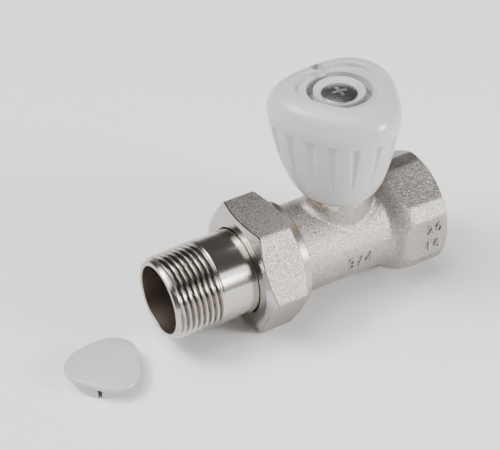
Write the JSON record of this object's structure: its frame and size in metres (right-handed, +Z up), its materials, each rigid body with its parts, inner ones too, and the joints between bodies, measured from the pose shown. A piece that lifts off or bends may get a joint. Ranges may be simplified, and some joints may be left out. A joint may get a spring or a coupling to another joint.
{
  "type": "manual radiator valve",
  "caption": "Straight manual radiator valve with a hexagonal threaded inlet, union nut and threaded tailpiece, three-lobed white handwheel and its loose snap-in cap.",
  "frame": {"origin": "centre of the inlet's mouth, on the pipe axis", "axes": "+X out of the inlet along the pipe, +Z up along the stem towards the handwheel, +Y to the back by the right-hand rule"},
  "size_m": [0.125, 0.0428, 0.0727],
  "materials": {
    "nickel_plated_brass": "nickel plated, sand-blasted on the forged faces and bright on the turned ones",
    "bare_brass": "turned",
    "plated_steel": "bright zinc plated",
    "white_plastic": "satin moulded",
    "slip_plastic": "smooth",
    "rubber": "moulded"
  },
  "bodies": {
    "valve": {"valve_body": "nickel_plated_brass", "headwork": "nickel_plated_brass", "headwork_seal": "rubber", "stem_slip_washer": "slip_plastic", "ring_slip_washer": "slip_plastic", "handwheel_cap": "white_plastic"},
    "handwheel": {"handwheel": "white_plastic", "handwheel_screw": "plated_steel", "stem": "bare_brass", "stem_retaining_ring": "plated_steel", "stem_ring_upper": "rubber", "stem_ring_lower": "rubber"},
    "plug": {"plug": "bare_brass", "seat_washer": "rubber", "washer_plate": "bare_brass", "washer_screw": "plated_steel"},
    "tail": {"tailpiece": "nickel_plated_brass", "tailpiece_seal": "rubber"},
    "nut": {"union_nut": "nickel_plated_brass"}
  },
  "joints": [
    {"name": "handwheel_turn", "type": "hinge", "parent": "valve", "child": "handwheel", "pos_m": [-0.0305, 0, 0.0342], "axis": [0, 0, 1], "range_deg": [0, 1080]},
    {"name": "plug_lift", "type": "slide", "parent": "valve", "child": "plug", "axis": [0, 0, 1], "range_m": [0, 0.00451]},
    {"name": "tail_slide", "type": "slide", "parent": "valve", "child": "tail", "axis": [-1, 0, 0], "range_m": [0, 0.00808]},
    {"name": "union_nut_turn", "type": "hinge", "parent": "tail", "child": "nut", "pos_m": [-0.0593, 0, 0], "axis": [-1, 0, 0], "range_deg": [0, 1260]}
  ],
  "couplings": [
    {"joint": "plug_lift", "follows": "handwheel_turn", "m_per_rad": 0.00023873},
    {"joint": "union_nut_turn", "follows": "tail_slide", "rad_per_m": 2721.2}
  ]
}
